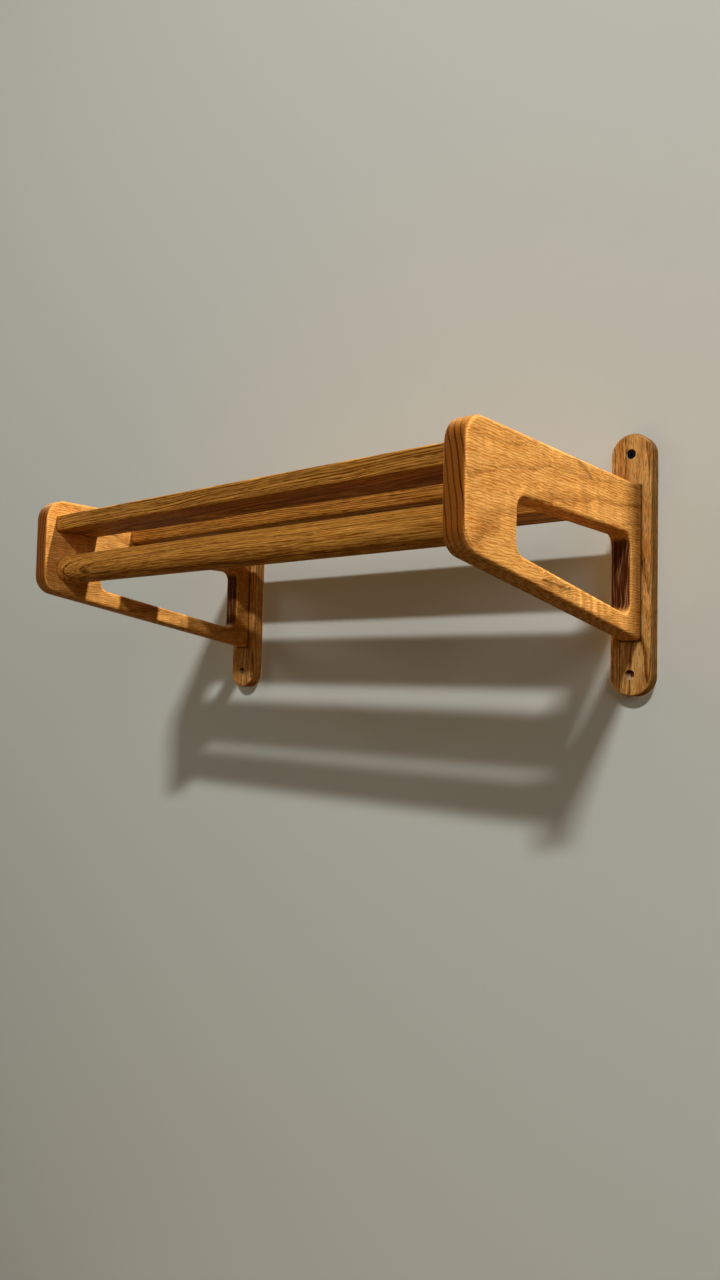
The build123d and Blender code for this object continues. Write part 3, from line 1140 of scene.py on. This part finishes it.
@dataclass
class Studio:
    """The pale wall and floor, the lamps and the camera."""

    wall_gap: float = 0.6 * MM
    wall_size: float = 6.0
    floor_height: float = -1.75
    wall_colour: str = "#ECF5F2"
    wall_glow: float = 0.008  # even light that lifts the shadows
    floor_colour: str = "#CDCCC9"
    floor_glow: float = 0.1
    matt: float = 0.9  # roughness of paint and card
    air_colour: str = "#FFD08A"
    air_strength: float = 0.068
    shown_colour: str = "#E4E1DA"  # background where nothing stands
    shown_strength: float = 0.8
    flag_place: Point = (0.85, 0.284, 0.9)
    flag_lean_deg: float = 2.8
    flag_size: Pair = (2.6, 0.6)
    flag_colour: str = "#0A0A0A"
    focal_px: float = 903.32
    image_height_px: float = 1280.0
    sensor: float = 36.0
    yaw_deg: float = 40.214
    pitch_deg: float = 2.917
    roll_deg: float = 1.274
    eye: Point = (0.69662, -0.92747, -0.25296)
    lamps: tuple[SoftLamp, ...] = (
        SoftLamp("side_lamp", (2.3, 0.125, 2.3), (0.1, 0.1), 128.0),
        SoftLamp("right_fill", (2.2, -2.0, 0.55), (1.0, 1.0), 6.2),
        SoftLamp("front_lamp", (1.12, -3.18, 2.26), (0.42, 0.13), 65.0),
        SoftLamp("back_lamp", (-0.9, 2.6, 1.6), (3.0, 3.0), 70.0),
        SoftLamp("left_lamp", (-3.2, 0.3, 1.2), (0.8, 0.8), 34.0),
        SoftLamp("left_fill", (-2.5, -1.8, 0.9), (0.8, 0.8), 5.0),
        SoftLamp("floor_bounce", (0.0, -0.4, -1.5), (1.2, 1.2), 0.6, "#FFD9A0"),
    )

    def camera(self) -> None:
        """Sets the camera where the photograph was taken from."""
        data = bpy.data.cameras.new("camera")
        data.sensor_width = self.sensor
        data.lens = self.focal_px / self.image_height_px * self.sensor
        yaw, pitch, roll = (math.radians(angle) for angle in (self.yaw_deg, self.pitch_deg, self.roll_deg))
        look = Vector((-math.sin(yaw) * math.cos(pitch), math.cos(yaw) * math.cos(pitch), math.sin(pitch)))
        right = Vector((math.cos(yaw), math.sin(yaw), 0.0))
        up = right.cross(look)
        turned_right = right * math.cos(roll) + up * math.sin(roll)
        turned_up = up * math.cos(roll) - right * math.sin(roll)
        turn = Matrix((turned_right, turned_up, -look)).transposed()
        camera = bpy.data.objects.new("camera", data)
        camera.matrix_world = Matrix.Translation(self.eye) @ turn.to_4x4()
        bpy.context.scene.collection.objects.link(camera)
        bpy.context.scene.camera = camera

    def _sheet(self, name: str, size: Pair, turn: Matrix, place: Point) -> Piece:
        """Makes a flat sheet that belongs to the studio.

        Args:
            name: Name of the sheet.
            size: Its two sides.
            turn: How it is turned from lying flat.
            place: Its middle.

        Returns:
            The sheet.
        """
        shape = bmesh.new()
        bmesh.ops.create_grid(shape, x_segments=1, y_segments=1, size=0.5)
        bmesh.ops.scale(shape, vec=(*size, 1.0), verts=shape.verts[:])
        bmesh.ops.rotate(shape, verts=shape.verts[:], cent=ORIGIN, matrix=turn)
        bmesh.ops.translate(shape, verts=shape.verts[:], vec=place)
        sheet = mesh_object(name, shape)
        return sheet

    def _seen(self, recipe: Recipe) -> Node:
        """Gives 1 for rays from the camera, from mirrors and through glass, and 0 for light on its way.

        Args:
            recipe: Nodes to add to.

        Returns:
            The factor.
        """
        path = recipe.add("LightPath").outputs
        mirrored = recipe.add(
            "Math", {0: path["Is Glossy Ray"], 1: path["Is Transmission Ray"]}, operation="ADD",
        )
        return recipe.add(
            "Math", {0: path["Is Camera Ray"], 1: mirrored}, operation="ADD", use_clamp=True,
        )

    def _paint(self, sheet: Piece, name: str, colour: str, glow: float) -> None:
        """Paints a sheet so that it is seen from its front and throws no light back at the rack.

        Args:
            sheet: The wall or the floor.
            name: Name of the paint.
            colour: Its colour.
            glow: Even light that lifts its shadows.
        """
        material = bpy.data.materials.new(name)
        recipe = Recipe(material)
        side = recipe.add("NewGeometry").outputs
        front = recipe.add(
            "Math", {0: self._seen(recipe), 1: side["Backfacing"]}, operation="SUBTRACT", use_clamp=True,
        )
        paint = recipe.add(
            "BsdfPrincipled",
            {"Base Color": linear(colour), "Roughness": self.matt, "Emission Color": linear(colour),
             "Emission Strength": glow},
        )
        clear = recipe.add("BsdfTransparent")
        mix = recipe.add("MixShader", {0: front, 1: clear, 2: paint})
        recipe.add("OutputMaterial", {"Surface": mix})
        dress(sheet, material)

    def wall(self) -> None:
        """Stands a pale wall behind the plates."""
        upright = Matrix.Rotation(math.pi / 2, 3, "X")
        middle = (0.0, self.wall_gap, self.floor_height + self.wall_size / 2)
        sheet = self._sheet("wall", (self.wall_size,) * 2, upright, middle)
        self._paint(sheet, "matt wall paint", self.wall_colour, self.wall_glow)

    def floor(self) -> None:
        """Lays a plain pale floor below the rack."""
        sheet = self._sheet("floor", (self.wall_size,) * 2, Matrix.Identity(3), (0.0, 0.0, self.floor_height))
        self._paint(sheet, "matt floor paint", self.floor_colour, self.floor_glow)

    def air(self) -> None:
        """Fills the room with weak even light, and shows a pale background where nothing stands."""
        world = bpy.data.worlds.new("studio")
        recipe = Recipe(world)
        light = recipe.add(
            "Background", {"Color": linear(self.air_colour), "Strength": self.air_strength},
        )
        shown = recipe.add(
            "Background", {"Color": linear(self.shown_colour), "Strength": self.shown_strength},
        )
        mix = recipe.add("MixShader", {0: self._seen(recipe), 1: light, 2: shown})
        recipe.add("OutputWorld", {"Surface": mix})
        bpy.context.scene.world = world

    def flag(self) -> None:
        """Hangs a card, seen by nothing, that keeps the side lamp's light off the wall plates."""
        upright = Matrix.Rotation(math.pi / 2, 3, "Y")
        turn = Matrix.Rotation(math.radians(self.flag_lean_deg), 3, "X") @ upright
        card = self._sheet("flag", self.flag_size, turn, self.flag_place)
        for ray in ("camera", "diffuse", "glossy", "transmission"):
            setattr(card, f"visible_{ray}", False)
        material = bpy.data.materials.new("black card")
        recipe = Recipe(material)
        black = recipe.add(
            "BsdfPrincipled", {"Base Color": linear(self.flag_colour), "Roughness": self.matt},
        )
        recipe.add("OutputMaterial", {"Surface": black})
        dress(card, material)

    def finish(self) -> None:
        """Sets up the whole studio."""
        self.camera()
        self.wall()
        self.floor()
        self.air()
        self.flag()
        for lamp in self.lamps:
            lamp.hang()
        bpy.context.scene.view_settings.view_transform = "Standard"


def main() -> None:
    """Builds the looks in order."""
    logging.basicConfig(level=logging.INFO, format="%(message)s")
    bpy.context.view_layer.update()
    Studio().finish()
    assemblies = (
        SidePanels(), WallPlates(), ShelfSlats(), HangingRail(), Dowels(), PlateScrews(), WallScrews(),
    )
    for assembly in assemblies:
        assembly.finish()


if __name__ == "__main__":
    main()
